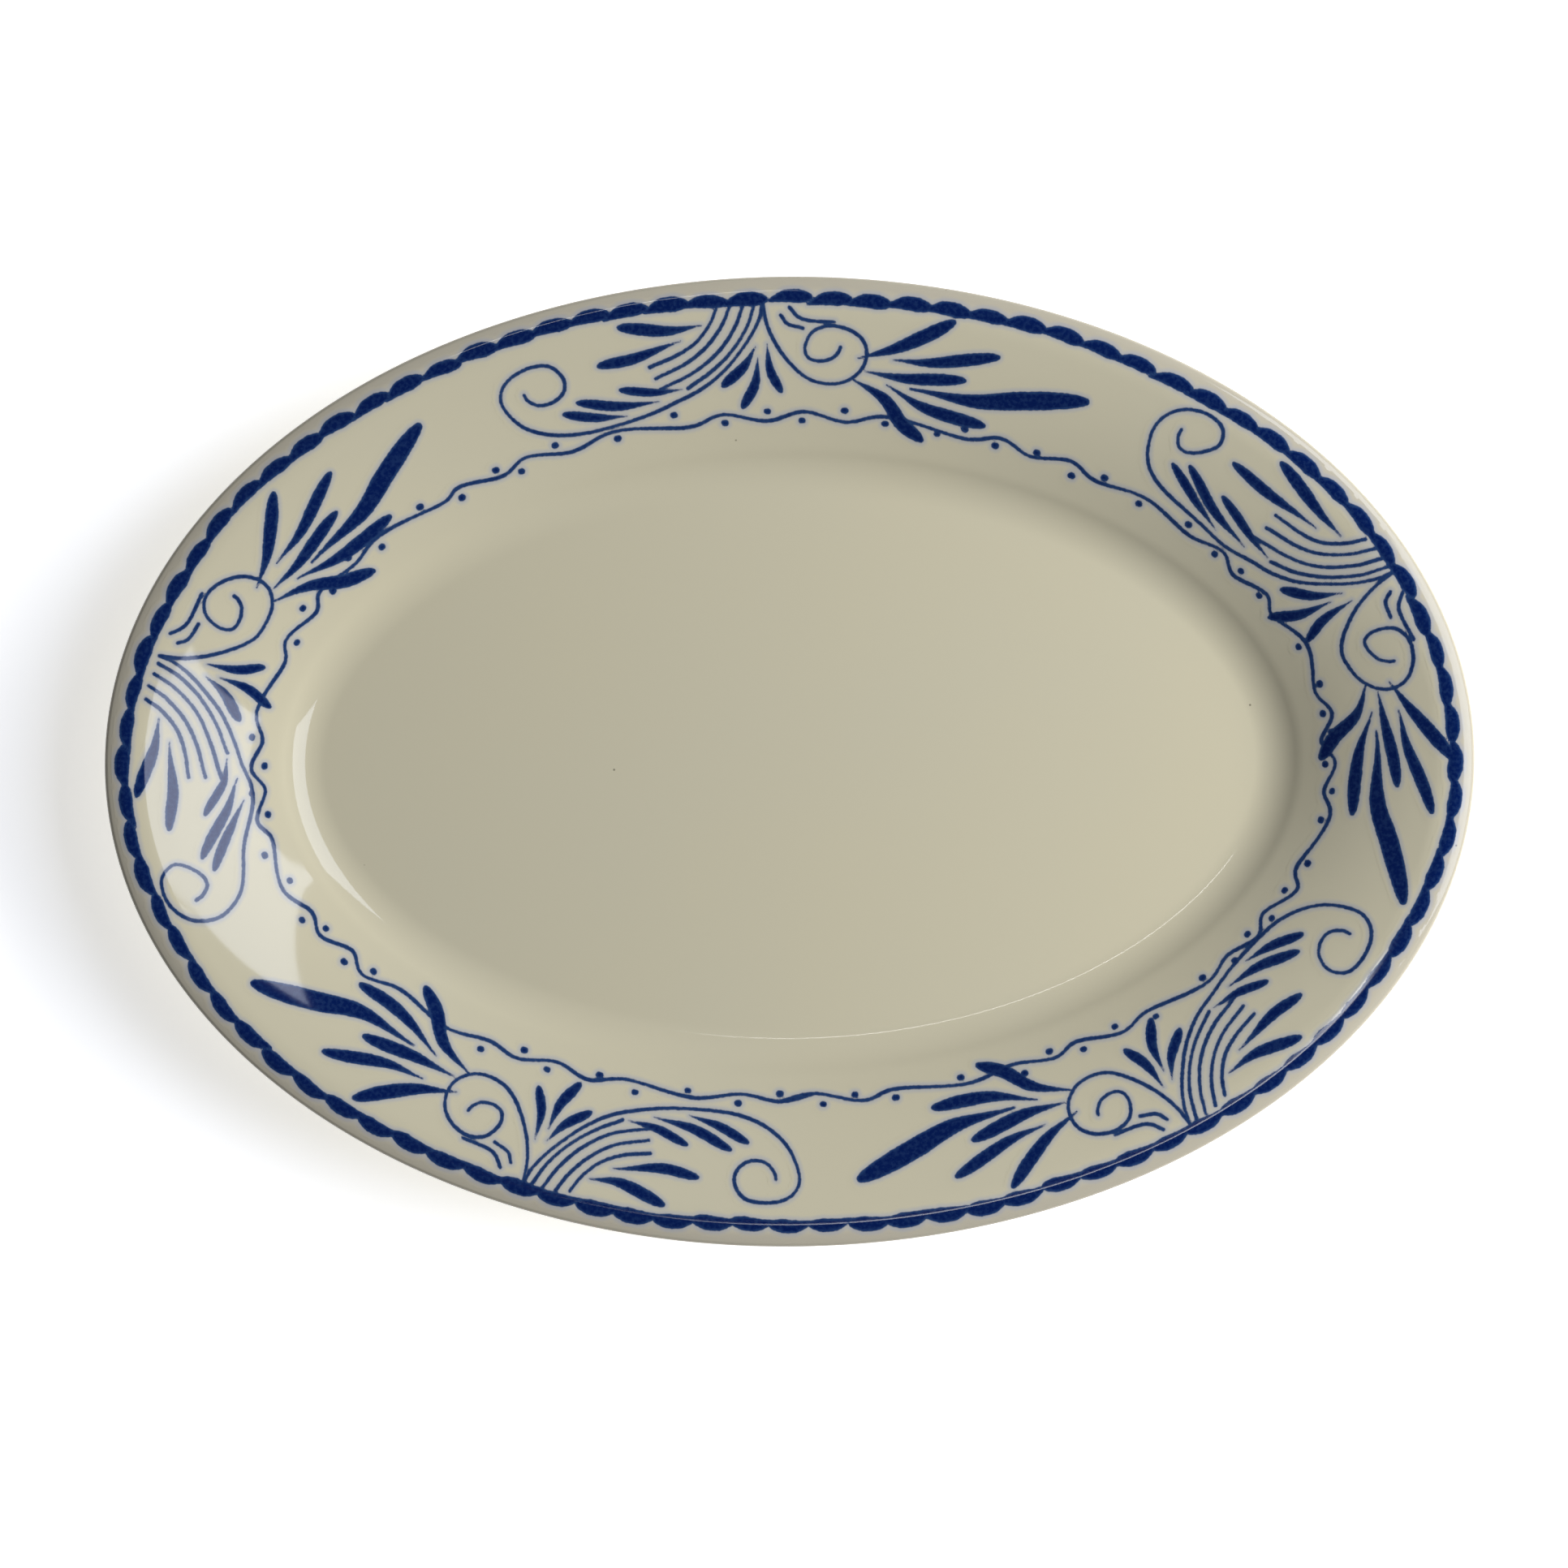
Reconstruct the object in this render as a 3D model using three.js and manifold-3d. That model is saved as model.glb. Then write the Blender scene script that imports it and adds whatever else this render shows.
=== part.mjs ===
// An oval serving platter in thick glazed china, with a blue decoration under its glaze.
// Millimetres, +Z up. The origin is the centre of the oval, on the plane that the foot ring stands on.
// The long way is X. The fired china and each layer on it is a closed solid of its own.
import * as THREE from "three";
import { mergeVertices } from "three/addons/utils/BufferGeometryUtils.js";
import Module from "manifold-3d";

// Driving dimensions of the outside, over the glaze
const LENGTH = 318;
const WIDTH = 225.2;
const HEIGHT = 27;
const WALL = 4.8; // thickness of the rim and of the well's side
const FLOOR_TOP = 10.5; // height of the well's flat floor
const RECESS_TOP = 4.2; // height of the underside inside the foot ring
const EDGE_HALF_WIDTH = 3.8; // the rounded edge is half an ellipse in section
const EDGE_HALF_HEIGHT = 2.5;

// Insets are plan distances inwards from the outer edge, so every ring of the platter runs parallel to it
const RIM_START_INSET = 7.5;
const RIM_MIDDLE_INSET = 24.5;
const RIM_END_INSET = 39;
const FLOOR_INSET = 50;
const FOOT_OUTER_INSET = 52;
const FOOT_INNER_INSET = 56.4;
const CORE_INSET = 60; // inside this oval the rings shrink evenly to the centre

const RIM_START_HEIGHT = 26.45;
const RIM_MIDDLE_HEIGHT = 20.8; // the rim is a little arched between its two ends
const RIM_END_HEIGHT = 14.15;
const FILLET_RADIUS = 18; // of the round rise from the floor to the rim

// Layers, each measured square to the surface
const GLAZE = 0.4;
const PRINT = 0.12; // the fired colour
const PRINT_ROOM = 0.36; // between the china and its glaze, where the colour lies
const SKIN = GLAZE + PRINT_ROOM;

// The decoration
const SCALLOPS = 92;
const SCALLOP_OUTER_INSET = 2.9;
const SCALLOP_CUSP = 0.9; // how far the outline dips between two scallops
const SCALLOP_INNER_INSET = 6.1;
const WAVES = 37;
const WAVE_INSET = 33;
const WAVE_HEIGHT = 0.9; // half the wander of the line
const WAVE_BORDER = 2.2; // the line and its dots, each side of the middle
const SPRAYS = 5;
const FIRST_SPRAY = 60; // along the lane, from the middle of the lower long side, clockwise
const LANE_INSET = 17; // the oval that the sprays are spaced along
const SPRAY_OUTLINE = [
  [-12, 7.3], [-33, 7.6], [-46, 10.5], [-58, 9.8], [-64, 16.5], [-61, 25], [-50, 28.2],
  [-22, 28.6], [10, 28.6], [50, 28.4], [62, 25], [78, 17], [76, 14], [58, 11.5],
  [44, 7.4], [28, 10], [12, 7.4],
]; // along the lane from the spray's root, and inset

const SEGMENTS = 64; // round the oval
const HALF_LENGTH = LENGTH / 2;
const HALF_WIDTH = WIDTH / 2;

const wasm = await Module();
wasm.setup();

// A point of the plan, from the ellipse's own angle and the inset
function ovalPoint(angle, inset) {
  const x = HALF_LENGTH * Math.cos(angle);
  const y = HALF_WIDTH * Math.sin(angle);
  const inward = new THREE.Vector2(-x / HALF_LENGTH ** 2, -y / HALF_WIDTH ** 2).normalize();
  const point = new THREE.Vector2(x, y).addScaledVector(inward, Math.min(inset, CORE_INSET));
  const shrink = (HALF_WIDTH - inset) / (HALF_WIDTH - CORE_INSET);
  return point.multiplyScalar(inset > CORE_INSET ? shrink : 1);
}

// A profile point moved square to the profile, to the left of the way it runs
function insetProfile(profile, depth) {
  return profile.map((point, i) => {
    const before = profile[Math.max(i - 1, 0)];
    const after = profile[Math.min(i + 1, profile.length - 1)];
    const arriving = new THREE.Vector2().subVectors(point, before).normalize();
    const leaving = new THREE.Vector2().subVectors(after, point).normalize();
    if (i === 0) arriving.copy(leaving);
    if (i === profile.length - 1) leaving.copy(arriving);
    const normal = new THREE.Vector2(-arriving.y - leaving.y, arriving.x + leaving.x).normalize();
    const reach = depth / Math.sqrt((1 + arriving.dot(leaving)) / 2);
    return point.clone().addScaledVector(normal, reach);
  });
}

// Profiles are points of (inset, height), from the middle of the top round to the middle of the underside
const at = (inset, height) => new THREE.Vector2(inset, height);

// The top, from the middle of the floor out to the rounded edge
const filletPath = [0, 10, 20, 30].map((degrees) => {
  const angle = THREE.MathUtils.degToRad(degrees);
  const height = FLOOR_TOP + FILLET_RADIUS * (1 - Math.cos(angle));
  return at(FLOOR_INSET - FILLET_RADIUS * Math.sin(angle), height);
});
const rimPath = [
  at(RIM_END_INSET, RIM_END_HEIGHT),
  at(RIM_MIDDLE_INSET, RIM_MIDDLE_HEIGHT),
  at(RIM_START_INSET, RIM_START_HEIGHT),
];
const topPath = [at(HALF_WIDTH, FLOOR_TOP), ...filletPath, ...rimPath];
const edgePath = [90, 135, 180, 225].map((degrees) => {
  const angle = THREE.MathUtils.degToRad(degrees);
  const height = HEIGHT - EDGE_HALF_HEIGHT + EDGE_HALF_HEIGHT * Math.sin(angle);
  return at(EDGE_HALF_WIDTH + EDGE_HALF_WIDTH * Math.cos(angle), height);
});
// The underside runs a wall's thickness below the rim and the fillet
const undersidePath = insetProfile(topPath, WALL).slice(2).reverse();
const glazeEnd = [at(FOOT_OUTER_INSET - 1.6, RECESS_TOP - 0.2), at(FOOT_OUTER_INSET - 0.6, 1.5)];
// The glazed side runs from the floor over the edge, then back under it to the foot
const facePath = [...topPath, ...edgePath, ...undersidePath, ...glazeEnd];

// The dry foot ring, wiped clean of glaze
const footPath = [
  at(FOOT_OUTER_INSET - 0.3, 1.1),
  at(FOOT_OUTER_INSET + 0.7, 0),
  at(FOOT_INNER_INSET - 0.7, 0),
  at(FOOT_INNER_INSET + 0.2, 1.1),
];
// The glazed recess inside the foot ring
const recessPath = [
  at(FOOT_INNER_INSET + 0.5, 1.5),
  at(FOOT_INNER_INSET + 1.6, RECESS_TOP),
  at(HALF_WIDTH, RECESS_TOP),
];

// The closed solid that a profile makes when it runs round the oval
function ovalGeometry(profile) {
  const turned = profile.map((p) => new THREE.Vector2(Math.max(HALF_WIDTH - p.x, 0), p.y));
  const geometry = new THREE.LatheGeometry(turned, SEGMENTS);
  geometry.rotateX(Math.PI / 2);
  const position = geometry.getAttribute("position");
  for (let i = 0; i < position.count; i++) {
    const x = position.getX(i);
    const y = position.getY(i);
    const point = ovalPoint(Math.atan2(y, x), HALF_WIDTH - Math.hypot(x, y));
    position.setXY(i, point.x, point.y);
  }
  return geometry;
}

// Between two depths below the glazed surface, as one closed loop
function layerProfile(path, outerDepth, innerDepth) {
  const inner = insetProfile(path, innerDepth);
  return [...inner, ...insetProfile(path, outerDepth).reverse(), inner[0].clone()];
}

function closeOnAxis(profile) {
  return profile.map((p) => (p.x > HALF_WIDTH - 1 ? at(HALF_WIDTH, p.y) : p));
}

function toSolid(geometry) {
  geometry.deleteAttribute("normal");
  geometry.deleteAttribute("uv");
  const merged = mergeVertices(geometry, 1e-4);
  const vertProperties = new Float32Array(merged.getAttribute("position").array);
  const triVerts = new Uint32Array(merged.index.array);
  return new wasm.Manifold(new wasm.Mesh({ numProp: 3, vertProperties, triVerts }));
}

function toGeometry(solid) {
  const mesh = solid.getMesh();
  const geometry = new THREE.BufferGeometry();
  geometry.setAttribute("position", new THREE.BufferAttribute(new Float32Array(mesh.vertProperties), 3));
  geometry.setIndex(new THREE.BufferAttribute(new Uint32Array(mesh.triVerts), 1));
  geometry.computeVertexNormals();
  return geometry;
}

const glazeColour = new THREE.MeshStandardMaterial({ color: 0xe6e1d0, roughness: 0.08, metalness: 0 });
const biscuitColour = new THREE.MeshStandardMaterial({ color: 0xe4d9c2, roughness: 0.85, metalness: 0 });
const cobaltColour = new THREE.MeshStandardMaterial({ color: 0x17346f, roughness: 0.2, metalness: 0 });

const platter = new THREE.Group();

function addNode(name, geometry, material) {
  const mesh = new THREE.Mesh(geometry, material);
  mesh.name = name;
  platter.add(mesh);
}

// China and glaze
const bodyProfile = [...insetProfile(facePath, SKIN), ...footPath, ...insetProfile(recessPath, SKIN)].reverse();
addNode("china_body", ovalGeometry(closeOnAxis(bodyProfile)), biscuitColour);
addNode("face_glaze", ovalGeometry(closeOnAxis(layerProfile(facePath, 0, GLAZE))), glazeColour);
addNode("foot_recess_glaze", ovalGeometry(closeOnAxis(layerProfile(recessPath, 0, GLAZE))), glazeColour);

// The thin level between china and glaze on the rim, which each piece of the decoration is cut from
const printTop = GLAZE + (PRINT_ROOM - PRINT) / 2;
const printPath = [...rimPath, edgePath[0], edgePath[1]];
const printLevel = toSolid(ovalGeometry(layerProfile(printPath, printTop, printTop + PRINT)));

function cutPrint(outline, hole) {
  const shape = new THREE.Shape(outline);
  if (hole) shape.holes.push(new THREE.Path(hole));
  const prism = new THREE.ExtrudeGeometry(shape, { depth: HEIGHT + 1, bevelEnabled: false });
  return toGeometry(toSolid(prism).intersect(printLevel));
}

// A closed line round the platter whose inset is a function of the share of the way round
function ringOutline(count, insetAt) {
  return Array.from({ length: count }, (_, i) => {
    const share = i / count;
    return ovalPoint(share * Math.PI * 2, insetAt(share));
  });
}

const scallopEdge = (share) => SCALLOP_OUTER_INSET + SCALLOP_CUSP * Math.abs(Math.cos(share * Math.PI * SCALLOPS));
addNode(
  "edge_scallop_print",
  cutPrint(ringOutline(SCALLOPS * 3, scallopEdge), ringOutline(SCALLOPS, () => SCALLOP_INNER_INSET)),
  cobaltColour,
);

const waveMiddle = (share) => WAVE_INSET + WAVE_HEIGHT * Math.cos(share * Math.PI * 2 * WAVES);
addNode(
  "wave_line_print",
  cutPrint(
    ringOutline(WAVES * 3, (share) => waveMiddle(share) - WAVE_BORDER),
    ringOutline(WAVES * 3, (share) => waveMiddle(share) + WAVE_BORDER),
  ),
  cobaltColour,
);

// The lane's length from the middle of the lower long side, clockwise, in small equal turns of angle
const laneTurns = 720;
const laneAngle = (i) => -Math.PI / 2 - (i / laneTurns) * Math.PI * 2;
const laneLengths = [0];
for (let i = 1; i <= laneTurns; i++) {
  const step = ovalPoint(laneAngle(i), LANE_INSET).distanceTo(ovalPoint(laneAngle(i - 1), LANE_INSET));
  laneLengths.push(laneLengths[i - 1] + step);
}
const laneLength = laneLengths[laneTurns];

function lanePoint(along, inset) {
  const wanted = THREE.MathUtils.euclideanModulo(along, laneLength);
  const next = laneLengths.findIndex((length) => length > wanted);
  const part = (wanted - laneLengths[next - 1]) / (laneLengths[next] - laneLengths[next - 1]);
  return ovalPoint(laneAngle(next - 1 + part), inset);
}

for (let i = 0; i < SPRAYS; i++) {
  const root = FIRST_SPRAY + (i * laneLength) / SPRAYS;
  const corners = SPRAY_OUTLINE.map(([along, inset]) => lanePoint(root + along, inset));
  const curve = new THREE.CatmullRomCurve3(corners.map((p) => new THREE.Vector3(p.x, p.y, 0)), true);
  const outline = curve.getPoints(SPRAY_OUTLINE.length * 2).slice(1);
  addNode(`spray_print_${i + 1}`, cutPrint(outline.map((p) => new THREE.Vector2(p.x, p.y))), cobaltColour);
}

export default platter;
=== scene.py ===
# %% [markdown]
# # An oval china serving platter
#
# The real platter is one piece of pressed, fired china in three kinds of layer: the china itself,
# which shows only on the dry foot ring, a clear ivory glaze poured over it, and a blue brush
# decoration that lies under the glaze and has bled into it a little. The drawing below follows the
# same order: china, glaze, then the blue.
#
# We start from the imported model, because its box says how long, wide and high everything may be.

# %% Load the frame
import math
import random

import bmesh
import bpy
import numpy as np
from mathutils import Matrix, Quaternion, Vector


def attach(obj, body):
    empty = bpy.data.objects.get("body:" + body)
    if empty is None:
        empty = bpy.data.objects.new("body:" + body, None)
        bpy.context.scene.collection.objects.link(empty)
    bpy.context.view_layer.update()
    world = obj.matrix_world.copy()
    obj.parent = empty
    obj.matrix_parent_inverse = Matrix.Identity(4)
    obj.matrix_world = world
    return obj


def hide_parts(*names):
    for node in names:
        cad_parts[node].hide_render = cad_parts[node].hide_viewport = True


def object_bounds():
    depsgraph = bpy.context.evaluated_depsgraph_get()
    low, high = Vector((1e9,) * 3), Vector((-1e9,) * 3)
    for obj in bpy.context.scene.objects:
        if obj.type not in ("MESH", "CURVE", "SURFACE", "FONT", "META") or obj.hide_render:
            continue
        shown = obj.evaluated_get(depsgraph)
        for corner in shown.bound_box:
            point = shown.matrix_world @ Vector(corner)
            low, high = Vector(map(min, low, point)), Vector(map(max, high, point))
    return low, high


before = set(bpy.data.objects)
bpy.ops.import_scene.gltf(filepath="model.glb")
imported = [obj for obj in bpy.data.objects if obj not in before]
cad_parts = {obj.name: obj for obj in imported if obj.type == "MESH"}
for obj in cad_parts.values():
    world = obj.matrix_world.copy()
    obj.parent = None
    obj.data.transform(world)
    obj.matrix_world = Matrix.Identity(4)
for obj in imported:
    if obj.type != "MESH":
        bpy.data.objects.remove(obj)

cad_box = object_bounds()
MM = 0.001
HALF_LENGTH = cad_box[1][0] / MM
HALF_WIDTH = cad_box[1][1] / MM
HEIGHT = cad_box[1][2] / MM
print(f"platter {2 * HALF_LENGTH:.1f} x {2 * HALF_WIDTH:.1f} x {HEIGHT:.1f} mm")

# %% [markdown]
# ## The oval
#
# The outer edge is an ellipse, but the rings inside it aren't smaller ellipses: the rim is as wide
# at the ends as at the sides, so each ring runs parallel to the edge. A place on the platter is
# then an angle and an inset, the distance inwards from the edge. Near the middle a parallel ring
# would fold over itself, so there the rings shrink evenly to the centre.

# %% Places on the oval
CORE_INSET = 60


def oval_place(angle, inset):
    """Plan places in mm, for numbers or arrays. The angle is the ellipse's own, from +X to +Y."""
    x, y = HALF_LENGTH * np.cos(angle), HALF_WIDTH * np.sin(angle)
    nx, ny = x / HALF_LENGTH**2, y / HALF_WIDTH**2
    depth = np.minimum(inset, CORE_INSET) / np.hypot(nx, ny)
    shrink = np.clip((HALF_WIDTH - inset) / (HALF_WIDTH - CORE_INSET), 0, 1)
    return (x - nx * depth) * shrink, (y - ny * depth) * shrink


print("the ring 35 mm in reaches", [round(float(v), 1) for v in oval_place(0.0, 35.0)], "mm")

# %% [markdown]
# ## The section
#
# Cut the platter from the middle to the edge and the cut face is a few straight runs joined by
# round corners, as the potter's template makes them: flat floor, steep verge, long sloping rim, a
# soft crest, a rounded edge, and back below. So the section is a list of corners, each with a
# radius, and one function turns it into a smooth line.

# %% Corners into a smooth section
ARC_STEP = 0.5  # mm between two points of a round corner


def rounded(corners, step=ARC_STEP):
    """Points of the line through (inset, height, radius) corners."""
    points = [corners[0][:2]]
    for before, corner, after in zip(corners, corners[1:], corners[2:]):
        place, radius = Vector(corner[:2]), corner[2]
        back = (Vector(before[:2]) - place).normalized()
        ahead = (Vector(after[:2]) - place).normalized()
        half = back.angle(ahead) / 2
        middle = place + (back + ahead).normalized() * radius / math.sin(half)
        first = place + back * radius / math.tan(half) - middle
        last = place + ahead * radius / math.tan(half) - middle
        count = max(2, math.ceil(radius * (math.pi - 2 * half) / step))
        points += [tuple(middle + first.slerp(last, i / count) * radius) for i in range(count + 1)]
    return points + [corners[-1][:2]]


FLOOR_TOP = 10.5
RECESS_TOP = 4.2
CREST_INSET = 3.8
TOP = [
    (HALF_WIDTH, FLOOR_TOP, 0),
    (45.0, FLOOR_TOP, 18),
    (39.6, 13.85, 25),
    (24.5, 21.3, 160),
    (8.0, HEIGHT - 0.6, 24),
    (CREST_INSET, HEIGHT + 0.12, 9),
]
UNDERSIDE = [
    (0, HEIGHT - 0.3, 1.0),
    (0, HEIGHT - 4.4, 1.9),
    (8.5, 21.3, 14),
    (24.0, 16.0, 150),
    (46.5, 5.3, 10),
    (50.4, 4.0, 0.8),
    (51.4, 1.5, 0.8),
    (51.5, 1.1, 0),
]
FOOT = [(51.7, 0.75, 0), (52.2, 0, 0.35), (55.9, 0, 0.35), (56.4, 0.75, 0)]
RECESS = [(56.6, 1.1, 0), (58.0, RECESS_TOP, 1.4), (HALF_WIDTH, RECESS_TOP, 0)]
face_line = rounded(TOP + UNDERSIDE)
crest = max(range(len(face_line)), key=lambda i: face_line[i][1])
top_insets, top_heights = np.array(face_line[: crest + 6])[::-1].T
crest_place = [round(v, 2) for v in face_line[crest]]
print(len(face_line), "points from floor to foot, crest at", crest_place, "mm")


def glaze_height(inset):
    """Height of the upper surface in mm, for numbers or arrays."""
    return np.interp(inset, top_insets, top_heights)


# %% [markdown]
# ## China and glaze as spun bodies
#
# A round plate would be a section spun about its axis. So is this one, and then each point is moved
# from its circle out to its ring of the oval. The glaze is a skin of its own thickness round the
# face, with a second one inside the foot. The foot ring between them is bare china, because the
# potter wipes it so that it won't stick to the kiln shelf.

# %% Spin and stretch
GLAZE = 0.35  # mm
EASE = 0.02  # between the glaze and the china in it, so that the two never share a surface


def move_in(line, depth):
    """The line moved square to itself, into the china."""
    places = [Vector(p) for p in line]
    moved = []
    for i, place in enumerate(places):
        run = (places[min(i + 1, len(places) - 1)] - places[max(i - 1, 0)]).normalized()
        moved.append((place.x - run.y * depth, place.y + run.x * depth))
    return [(HALF_WIDTH if x > HALF_WIDTH - 1 else x, z) for x, z in moved]


def spun_oval(name, line, turns, closed):
    bm = bmesh.new()
    verts = [bm.verts.new((max(HALF_WIDTH - inset, 0), 0, height)) for inset, height in line]
    pairs = zip(verts, verts[1:] + verts[:1]) if closed else zip(verts, verts[1:])
    edges = [bm.edges.new(pair) for pair in pairs]
    bmesh.ops.spin(
        bm, geom=verts + edges, cent=(0, 0, 0), axis=(0, 0, 1), angle=math.tau,
        steps=turns, use_merge=True, use_duplicate=False,
    )
    bmesh.ops.remove_doubles(bm, verts=bm.verts, dist=1e-4)
    for v in bm.verts:
        reach = math.hypot(v.co.x, v.co.y)
        x, y = oval_place(math.atan2(v.co.y, v.co.x), HALF_WIDTH - reach)
        v.co = Vector((x, y, v.co.z)) * MM
    bmesh.ops.recalc_face_normals(bm, faces=bm.faces)
    return finished(name, bm)


def finished(name, bm):
    """A smooth-shaded piece from a bmesh, which is used up."""
    for face in bm.faces:
        face.smooth = True
    for edge in bm.edges:
        edge.smooth = edge.calc_face_angle(0) < math.radians(50)
    mesh = bpy.data.meshes.new(name)
    bm.to_mesh(mesh)
    bm.free()
    piece = bpy.data.objects.new(name, mesh)
    bpy.context.scene.collection.objects.link(piece)
    print(f"{name}: {len(mesh.vertices)} vertices, {len(mesh.polygons)} faces")
    return piece


# %% The three bodies
AROUND = 448
inner_step = 2.0
china_line = move_in(rounded(TOP + UNDERSIDE, inner_step), GLAZE + EASE) + rounded(FOOT)
china_line += move_in(rounded(RECESS, inner_step), GLAZE + EASE)
china = spun_oval("fired_china", china_line, AROUND // 2, closed=False)
skin = face_line + move_in(rounded(TOP + UNDERSIDE, inner_step), GLAZE)[::-1]
face_glaze = spun_oval("face_glaze_coat", skin, AROUND, closed=False)
recess_line = rounded(RECESS)
recess_skin = recess_line + move_in(recess_line, GLAZE)[::-1]
recess_glaze = spun_oval("foot_recess_glaze_coat", recess_skin, AROUND // 2, closed=True)

# %% [markdown]
# ## Materials: ivory glaze, biscuit and cobalt
#
# A clear lead-free glaze over ivory china is a very smooth dielectric: no metal, an IOR of about
# 1.5 and almost no roughness. What keeps it from looking like plastic is small: the body's colour
# drifts a little, a few iron specks show, and the surface isn't quite flat. The biscuit of the foot
# ring is the same clay with no glaze, so it is rough and dull. The cobalt lies under the same clear
# glaze, so it shares the glaze's gloss and differs only in colour.

# %% Helpers for materials
def linear(hex_colour):
    """An sRGB hex colour as the linear numbers that shaders take."""
    channels = [int(hex_colour[i:i + 2], 16) / 255 for i in (1, 3, 5)]
    return [c / 12.92 if c <= 0.04045 else ((c + 0.055) / 1.055) ** 2.4 for c in channels] + [1.0]


def add_node(material, kind, settings, links):
    """Adds a node. Settings set its properties or sockets, and links join sockets to its inputs."""
    node = material.node_tree.nodes.new(kind)
    for key, value in settings.items():
        if isinstance(key, str) and hasattr(node, key):
            setattr(node, key, value)
        else:
            node.inputs[key].default_value = value
    for key, socket in links.items():
        material.node_tree.links.new(socket, node.inputs[key])
    return node.outputs


def new_material(name):
    material = bpy.data.materials.new(name)
    material.use_nodes = True
    material.node_tree.nodes.clear()
    return material


def finish_surface(material, settings, links):
    shader = add_node(material, "ShaderNodeBsdfPrincipled", settings, links)
    add_node(material, "ShaderNodeOutputMaterial", {}, {"Surface": shader["BSDF"]})


A, B = 6, 7  # a colour Mix node's own A and B sockets


def mixed(material, factor, first, second):
    """Two colours mixed. Each is a colour or a socket."""
    colours = {A: first, B: second}
    fixed = {key: value for key, value in colours.items() if isinstance(value, list)}
    linked = {key: value for key, value in colours.items() if key not in fixed}
    settings = {"data_type": "RGBA", **fixed}
    return add_node(material, "ShaderNodeMix", settings, {"Factor": factor, **linked})[2]


def ranged(material, value, low, high, at_low, at_high):
    """A value taken from one range to another, with soft ends."""
    settings = {"interpolation_type": "SMOOTHSTEP", "From Min": low, "From Max": high}
    settings.update({"To Min": at_low, "To Max": at_high})
    return add_node(material, "ShaderNodeMapRange", settings, {"Value": value})["Result"]


# %% The glaze and the biscuit
IVORY = linear("#C4BEA6")
WARM_IVORY = linear("#C7BFA3")
# A darker ivory, used as painted shade on the outer lip.
SHADED_LIP_IVORY = linear("#B8B19E")
CLAY = linear("#CFC3AA")
IRON = linear("#4A4136")
GLAZE_GLOSS = {"Roughness": 0.05, "IOR": 1.5}
PER_MM = 1000  # Object coordinates are in metres, so a pattern of s mm has the scale PER_MM / s


def painted_lip_shade(material, place):
    """0 on the rim, rising to 1 on the lip, whose colour is darkened there as painted shade."""
    oval = (1 / (HALF_LENGTH * MM), 1 / (HALF_WIDTH * MM), 0)
    squeeze = {"operation": "MULTIPLY", 1: oval}
    round_place = add_node(material, "ShaderNodeVectorMath", squeeze, {0: place})["Vector"]
    reach = add_node(material, "ShaderNodeVectorMath", {"operation": "LENGTH"}, {0: round_place})
    return ranged(material, reach["Value"], 0.955, 0.982, 0.0, 1.0)


def glaze_colour(material, place):
    """The ivory body seen through the glaze: a slow drift of tone, painted shade on the lip, and
    specks of iron.
    """
    drift = add_node(
        material, "ShaderNodeTexNoise", {"Scale": PER_MM / 60, "Detail": 2.0}, {"Vector": place}
    )
    tone = mixed(material, drift["Fac"], IVORY, WARM_IVORY)
    # Painted shade: the outer lip is mixed towards the darker ivory.
    tone = mixed(material, painted_lip_shade(material, place), tone, SHADED_LIP_IVORY)
    specks = add_node(material, "ShaderNodeTexVoronoi", {"Scale": PER_MM / 14}, {"Vector": place})
    speck = ranged(material, specks["Distance"], 0.008, 0.026, 0.7, 0.0)
    return mixed(material, speck, tone, IRON)


def glaze_waves(material, place):
    """The glaze pooled a hair unevenly as it melted, in soft waves about 35 mm long."""
    waves = add_node(
        material, "ShaderNodeTexNoise", {"Scale": PER_MM / 35, "Detail": 1.0}, {"Vector": place}
    )
    settings = {"Strength": 1.0, "Distance": 0.03 * MM}
    return add_node(material, "ShaderNodeBump", settings, {"Height": waves["Fac"]})["Normal"]


def glaze_material():
    material = new_material("ivory_glaze")
    place = add_node(material, "ShaderNodeTexCoord", {}, {})["Object"]
    links = {"Base Color": glaze_colour(material, place), "Normal": glaze_waves(material, place)}
    finish_surface(material, GLAZE_GLOSS, links)
    return material


def biscuit_material():
    """Fired, unglazed clay: dull and gritty, with a grain of half a millimetre and kiln stains."""
    material = new_material("fired_biscuit")
    place = add_node(material, "ShaderNodeTexCoord", {}, {})["Object"]
    grit = add_node(
        material, "ShaderNodeTexNoise", {"Scale": PER_MM / 0.5, "Detail": 3.0}, {"Vector": place}
    )
    stain = add_node(material, "ShaderNodeTexNoise", {"Scale": PER_MM / 9}, {"Vector": place})
    colour = mixed(material, ranged(material, stain["Fac"], 0.45, 0.75, 0.0, 0.5), CLAY, IRON)
    rough = ranged(material, grit["Fac"], 0.3, 0.7, 0.7, 0.95)
    settings = {"Strength": 0.6, "Distance": 0.05 * MM}
    bump = add_node(material, "ShaderNodeBump", settings, {"Height": grit["Fac"]})["Normal"]
    links = {"Base Color": colour, "Roughness": rough, "Normal": bump}
    finish_surface(material, {"IOR": 1.5}, links)
    return material


def dress(piece, node, material):
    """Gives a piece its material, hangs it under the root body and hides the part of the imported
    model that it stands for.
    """
    piece.data.materials.append(material)
    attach(piece, "root")
    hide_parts(node)


ivory_glaze = glaze_material()
dress(china, "china_body", biscuit_material())
dress(face_glaze, "face_glaze", ivory_glaze)
dress(recess_glaze, "foot_recess_glaze", ivory_glaze)
print("glazed", face_glaze.name, "and", recess_glaze.name)

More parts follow.
